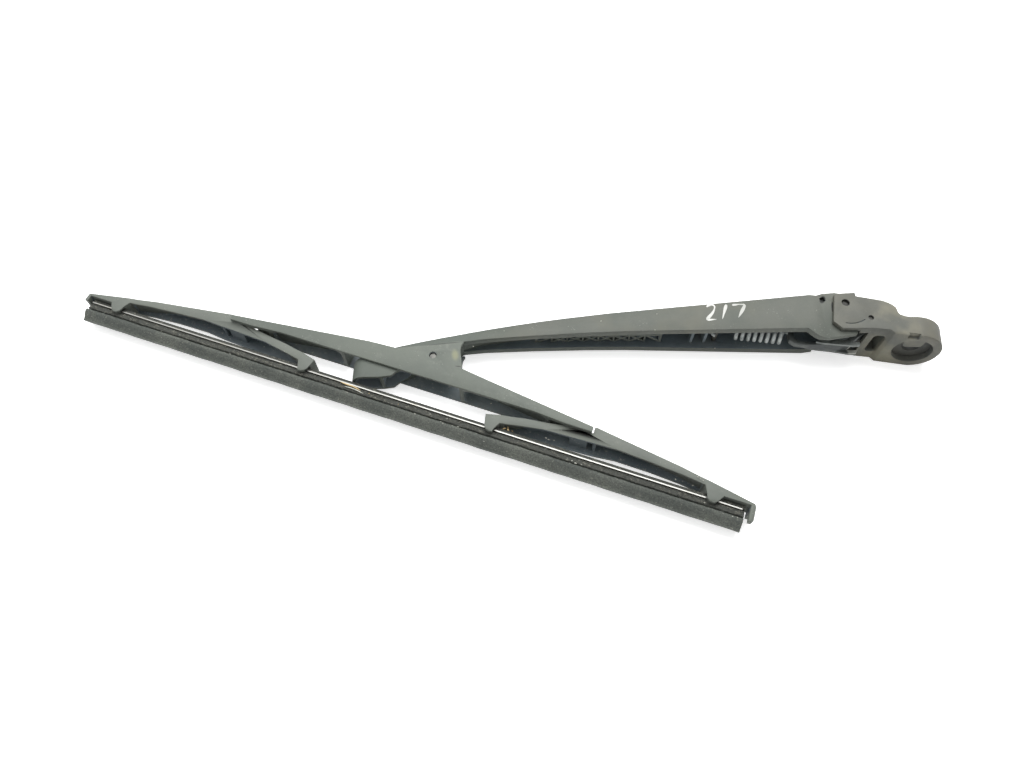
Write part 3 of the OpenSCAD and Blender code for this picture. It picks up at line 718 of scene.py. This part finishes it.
def fine_ribs():
    """Upright plates in the channel: cross walls every half cell, and two diagonals at each second one.

    Each plate has a ring of four corners at either end: half its thickness to both sides, low and tall.
    """
    lines = []
    for k in range(1, RIB_STEPS + 1):
        middle = RIB_FIRST + k * RIB_PITCH / 2
        half = half_width(middle) - RIB_WALL
        low, high = middle - RIB_PITCH / 2, middle + RIB_PITCH / 2
        if k % 2 == 0:
            lines += [(low, -half, high, half), (low, half, high, -half)]
        lines.append((middle, -half, middle, half))
    for n, line in enumerate(lines):
        ends = np.array(line).reshape(2, 2)
        ahead = (ends[1] - ends[0]) / np.hypot(*(ends[1] - ends[0]))
        side = np.array([-ahead[1], ahead[0]]) * RIB_HALF_T
        edge = np.interp(ends[:, 0], *RIB_EDGE.T) + RIB_SET
        rings = np.zeros((2, 4, 3))
        rings[:, :, ::2] = ends[:, None] + RIB_CORNERS[:, :1] * side
        rings[:, :, 1] = edge[:, None] + RIB_CORNERS[:, 1] * RIB_TALL
        piece = tube(f"fine_rib_{n + 1}", ringed(on_arm, rings), ARM_PLASTIC, 30)
        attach(piece, "arm")


fine_ribs()

# Wiping element: rubber strip and two steel rails, each made as a left (-1) and a right (1) half
SIDES = {-1: "left", 1: "right"}
HALF_LENGTH = 162.0
RUBBER_MORE = {-1: 0.8, 1: 0}
RAIL_MORE = {-1: 0.4, 1: -1.2}
BLEND_FROM = {-1: 25.0, 1: 12.0}
BLEND_TO = 45.0
RUBBER_STEPS = 420
RAIL_STEPS = 120
# Half section of the rubber, (height, half width) from the bead down to the lip
SECTION = np.array([
    (-1.0, 2.2), (-1.2, 2.5), (-1.7, 2.3), (-2.2, 2.55), (-2.6, 2.5), (-2.65, 1.0), (-3.35, 1.0),
    (-3.35, 2.2), (-3.7, 2.5), (-4.2, 2.3), (-4.7, 2.6), (-5.4, 2.5), (-5.9, 2.7), (-6.2, 2.4),
    (-6.3, 1.5), (-6.8, 1.5), (-6.9, 2.7), (-7.2, 3.2), (-8.0, 3.3), (-8.6, 3.1), (-9.3, 2.6),
    (-10.4, 1.5), (-11.3, 0.75), (-11.8, 0.5), (-12.2, 0.45)])
RAIL_SECTION = np.array([(-2.7, 1.1), (-2.7, 3.1), (-3.25, 3.1), (-3.3, 1.1)])
WAVE_FROM = -3.9
WAVE_DEPTH = 8
WORN_FROM, WORN_TO = -3.4, -9.0
ROUGHNESS = 0.11


def with_yokes(piece, side, node):
    """The piece's place is baked into its mesh and the CAD node is hidden. Where it would pass from the blade
    to the secondary yoke is worked out, but not used.
    """
    start, end = on_blade(np.array([[BLEND_FROM[side], 0, 0], [BLEND_TO, 0, 0]]) * side * MM)
    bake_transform(piece)
    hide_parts(node)


def rubber_half(side):
    """The mirrored section along u, shifted sideways by two sine waves of u that grow below the rail.

    The worn part between the rail and the lip gets a random roughness, smoothed along u.
    """
    section = np.vstack([SECTION, SECTION[::-1] * [1, -1]])
    level, across = section.T
    u = side * np.linspace(0, HALF_LENGTH + RUBBER_MORE[side], RUBBER_STEPS)
    rings = extruded(u, section)
    depth = np.clip((WAVE_FROM - level) / WAVE_DEPTH, 0, 1) + 0.25 * (level < WAVE_FROM)
    wave = 0.10 * np.sin(u * 0.210 + 0.7) + 0.07 * np.sin(u * 0.530)
    rings[:, :, 2] += depth[None] * wave[:, None]
    rough = np.random.default_rng(7).normal(0, 1, (len(u), len(SECTION)))
    rough[1:-1] = (rough[:-2] + 2 * rough[1:-1] + rough[2:]) / 4
    rough *= (SECTION[:, 0] < WORN_FROM) * (SECTION[:, 0] > WORN_TO)
    rough = np.hstack([rough, rough[:, ::-1]]) * ROUGHNESS
    rings[:, :, 1] += rough
    rings[:, :, 2] += 0.7 * rough * np.sign(across)
    if side > 0:
        rings = rings[:, ::-1]
    piece = tube(f"rubber_{SIDES[side]}_half", ringed(on_blade, rings), RUBBER, 40)
    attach(piece, "blade")
    # The piece is unparented again before its place is baked
    piece.parent = None
    with_yokes(piece, side, "wiper_rubber")


def rail_half(side, way, which):
    """One outline along u, on the near (1) or the far (-1) side. Faces that look up or down get painted
    shade.
    """
    u = side * np.linspace(0, HALF_LENGTH + RAIL_MORE[side], RAIL_STEPS)
    rings = extruded(u, RAIL_SECTION * [1, way])
    if side * way > 0:
        rings = rings[:, ::-1]
    piece = tube(f"rail_{SIDES[side]}_half_{which}", ringed(on_blade, rings), RAIL_STEEL, 40)
    piece.data.materials.append(RAIL_PAINTED_SHADE)
    for face in piece.data.polygons:
        face.material_index = int(abs(face.normal.z) < 0.5)
    with_yokes(piece, side, "rail_" + which)


for side in SIDES:
    rubber_half(side)
for side in SIDES:
    rail_half(side, 1, "near")
    rail_half(side, -1, "far")

# Hand-drawn white strokes on the near side of the arm: knots (x, y) in the arm's frame
STROKES = (((-66.0, -0.6), (-64.0, 1.2), (-61.8, -0.2), (-63.2, -3.8), (-67.2, -8.2), (-62.0, -7.8)),
           ((-56.4, 0.6), (-58.0, -3.8), (-59.4, -7.8)),
           ((-53.6, 0.2), (-50.6, 0.6), (-47.4, 0.4), (-49.4, -3.2), (-51.8, -7.2)))
STROKE_SINK = -0.05
STROKE_LIFT = 0.04


def marker_strokes():
    """Each stroke is a flat strip along a smooth path through its knots, a hair over the arm's side.

    Its half width goes up and down as a sine along the path, and it narrows at both ends.
    """
    for n, knots in enumerate(STROKES):
        path, t = eased(knots, 36, 6)
        ahead = np.gradient(path, axis=0)
        side = np.stack([-ahead[:, 1], ahead[:, 0]], 1) / np.linalg.norm(ahead, axis=1)[:, None]
        wide = 0.55 + 0.25 * np.sin(t * 2.1 + n) - 0.35 * np.abs(t / t[-1] * 2 - 1) ** 6
        one, other = path - side * wide[:, None], path + side * wide[:, None]
        rows = [np.column_stack([edge, half_width(edge[:, 0]) + lift]) for edge, lift in (
            (one, STROKE_SINK), (other, STROKE_SINK), (other, STROKE_LIFT), (one, STROKE_LIFT))]
        piece = tube(f"marker_stroke_{n + 1}", ringed(on_arm, np.stack(rows, 1)), MARKER_WHITE, 40)
        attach(piece, "arm")


marker_strokes()

# Dirt that sticks to the wiper: (along, up, side, size), in the arm's or the blade's frame
PALE_ON_BLADE = (
    (71.9, 1.5, 2.0, 0.5), (73.2, 1.2, 2.0, 0.4), (75.7, 1.5, 2.0, 0.35), (131.1, 1.8, 1.0, 0.5),
    (138.7, 1.1, 2.0, 0.45), (140.8, 3.7, 4.9, 0.3), (142.2, 3.3, 4.9, 0.4), (139.6, 4.3, 4.9, 0.35),
    (145.1, -5.3, 2.6, 0.45), (157.4, -7.6, 3.3, 0.4), (159.4, -7.4, 3.3, 0.4), (24.9, -7.1, 3.2, 0.35),
    (26.0, -7.5, 3.3, 0.4), (26.8, -4.6, 2.6, 0.45), (33.1, -6.9, 3.0, 0.5), (30.5, -7.2, 3.2, 0.35),
    (12.3, -7.3, 3.3, 0.4), (46.5, -9.5, 2.5, 0.3), (18.6, -4.8, 2.6, 0.35), (88.0, -6.1, 2.6, 0.6),
    (90.5, -5.8, 2.6, 0.45), (86.2, -5.4, 2.6, 0.4), (109.5, 3.3, -3.2, 0.4), (123.0, 0.5, -3.2, 0.35),
    (42.6, 10.3, 1.0, 0.55), (-46.0, -5.2, 2.6, 0.35), (-83.0, -7.0, 3.1, 0.35), (-121.0, -6.6, 3.0, 0.3))
TAN_ON_BLADE = (
    (50.1, 1.3, 1.6, 0.75), (51.6, 1.0, 1.6, 0.6), (52.5, 2.3, 1.0, 0.6), (54.1, 0.9, 1.6, 0.7),
    (52.7, -0.2, 2.0, 0.75), (54.6, -0.4, 2.0, 0.8), (50.9, 2.6, 0.8, 0.5), (56.6, -0.3, 2.0, 0.4),
    (-23.0, -3.4, 2.6, 0.3), (-12.0, -4.3, 2.6, 0.3), (3.0, -5.0, 2.6, 0.3))
PALE_ON_ARM = (
    (-163.4, -12.2, 6.6, 0.35), (-177.9, -20.7, 6.1, 0.35), (-90.1, -4.1, 9.0, 0.45),
    (-91.9, -13.3, 9.0, 0.3), (-117.1, -7.6, 8.15, 0.4), (-71.5, -10.7, -6.4, 0.3),
    (-60.0, -14.0, -6.0, 0.45))
GOLDEN = (1 + 5 ** 0.5) / 2
LUMP_SHAPE = 0.72 * np.array([1.5, 0.8, 0.7])
MIDDLE_TO = 28
TIP = 170


def crumbs(name, spots, place, material, body):
    """Small uneven lumps: the 12 corners of an icosahedron, each pushed in or out, in one mesh."""
    rng = np.random.default_rng(3)
    corners = np.array([[a, b * GOLDEN, 0] for a in (-1, 1) for b in (-1, 1)])
    corners = np.vstack([corners, np.roll(corners, 1, 1), np.roll(corners, 2, 1)]) / np.hypot(1, GOLDEN)
    bm = bmesh.new()
    for *middle, size in spots:
        lump = corners * rng.uniform(0.6, 1.25, (len(corners), 1)) * size * LUMP_SHAPE
        lump = turned(lump, rng.uniform(-0.9, 0.9), middle)
        verts = [bm.verts.new(p) for p in place(lump * MM)]
        bmesh.ops.convex_hull(bm, input=verts)
    mesh = bpy.data.meshes.new(name)
    bm.to_mesh(mesh)
    bm.free()
    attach(add_piece(name, mesh, material, 30), body)


def between(spots, low, high):
    """The spots that lie from low up to high along the blade."""
    return [spot for spot in spots if low <= spot[0] < high]


crumbs("pale_crumbs_arm", PALE_ON_ARM, on_arm, CRUMB_PALE, "arm")
for kind, spots, material in (("pale", PALE_ON_BLADE, CRUMB_PALE), ("tan", TAN_ON_BLADE, CRUMB_TAN)):
    crumbs(kind + "_crumbs_middle", between(spots, -MIDDLE_TO, MIDDLE_TO), on_blade, material, "blade")
    crumbs(kind + "_crumbs_right", between(spots, MIDDLE_TO, TIP), on_blade, material, "yoke_right")
crumbs("pale_crumbs_left", between(PALE_ON_BLADE, -TIP, -MIDDLE_TO), on_blade, CRUMB_PALE, "yoke_left")

LEAF_HALF_T = 0.12
LEAF_CURL = 0.25


def leaf_thread(name, width, material, knots):
    """A dry strip of leaf on the rubber: a flat ribbon along a smooth path, narrow and lifted at its ends."""
    path, t = eased(knots, 30, 5)
    from_middle = 2 * t / t[-1] - 1
    path[:, 2] += LEAF_CURL * from_middle ** 2
    half = width / 2 * (1 - 0.8 * np.abs(from_middle) ** 3)
    rings = np.repeat(path[:, None], 4, axis=1)
    for k, (up, out) in enumerate(((-1, -1), (1, -1), (1, 1), (-1, 1))):
        rings[:, k, 1] += up * half
        rings[:, k, 2] += out * LEAF_HALF_T
    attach(tube(name, ringed(on_blade, rings), material, 40), "blade")


leaf_thread("leaf_strip_upper", 0.55, CRUMB_TAN, (
    (-27.0, -3.4, 2.9), (-23.6, -3.6, 3.1), (-20.6, -3.6, 3.2), (-18.0, -4.0, 3.1), (-16.1, -4.6, 3.0)))
leaf_thread("leaf_strip_lower", 0.4, CRUMB_PALE, (
    (-24.0, -4.9, 3.0), (-20.5, -4.7, 3.1), (-17.5, -4.9, 3.1), (-14.2, -5.6, 3.0)))

PINS = {PIN_NEAR_BLACK: ("hinge_pin", "link_pin", "anchor_pin"),
        PIN_STEEL: ("blade_pivot_pin", "left_yoke_pin", "right_yoke_pin")}
for material, pins in PINS.items():
    for node in pins:
        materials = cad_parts[node].data.materials
        materials.clear()
        materials.append(material)

# Table: a pale plane under the head's side and the blade's side
HEAD_SIDE = 12.8 * MM
BLADE_SIDE = 7.55 * MM
SIDES_APART = 94 * MM
TABLE_HALF = 3.0
TABLE_GLOW = 0.62


def table():
    """A square plane that touches both sides. Its glow shows to the camera and in reflections only."""
    slope = (HEAD_SIDE - BLADE_SIDE) / SIDES_APART
    along = np.array([math.cos(BLADE_LIE), math.sin(BLADE_LIE), 0])
    across = np.array([-math.sin(BLADE_LIE), math.cos(BLADE_LIE), -slope])
    middle = on_blade([BLADE_PIN_ON_BLADE])[0] - [0, 0, BLADE_SIDE]
    corners = [middle + TABLE_HALF * (i * along + j * across)
               for i, j in ((-1, -1), (1, -1), (1, 1), (-1, 1))]
    mesh = bpy.data.meshes.new("table")
    mesh.from_pydata([tuple(c) for c in corners], [], [(0, 1, 2, 3)])
    obj = bpy.data.objects.new("table", mesh)
    bpy.context.collection.objects.link(obj)
    s = Surface("table_white")
    s.set(Base_Color=(0.93, 0.935, 0.93), Roughness=0.9, Specular_IOR_Level=0.1)
    glow = s.node("ShaderNodeEmission", {}, {
        "Color": (1, 1, 1), "Strength": (s.ray("Camera") + s.ray("Glossy")) * TABLE_GLOW})
    both = s.node("ShaderNodeAddShader", {}, {0: Value(s, s.shader.outputs[0]), 1: glow})
    s.feed(s.tree.nodes["Material Output"].inputs["Surface"], both)
    mesh.materials.append(s.material)


table()

# Soft studio light. Past the table, the camera and the reflections see white
LAMP_SIZE = 0.9
AIM = (-0.2, -0.03, 0)
WORLD_LIGHT = 0.35


def lamp(name, place, energy):
    """A square area lamp that is turned to the aim."""
    data = bpy.data.lights.new(name, "AREA")
    data.size = LAMP_SIZE
    data.energy = energy
    obj = bpy.data.objects.new(name, data)
    obj.location = place
    direction = np.array(AIM) - np.array(place)
    yaw = math.atan2(direction[1], direction[0])
    pitch = math.atan2(math.hypot(direction[0], direction[1]), -direction[2])
    obj.rotation_euler = (pitch, 0, yaw - math.pi / 2)
    bpy.context.collection.objects.link(obj)


lamp("overhead", (-0.15, 0.55, 1.0), 17)
lamp("side", (-1.0, 0.1, 0.9), 4)

world = bpy.data.worlds.new("studio")
bpy.context.scene.world = world
world.use_nodes = True
sky = Nodes(world.node_tree)
background = sky.tree.nodes["Background"]
seen = sky.ray("Camera")
for kind in ("Glossy", "Transmission"):
    seen = seen.maths("MAXIMUM", seen, sky.ray(kind))
sky.feed(background.inputs["Color"], (1, 1, 1))
sky.feed(background.inputs["Strength"], seen * (1 - WORLD_LIGHT) + WORLD_LIGHT)
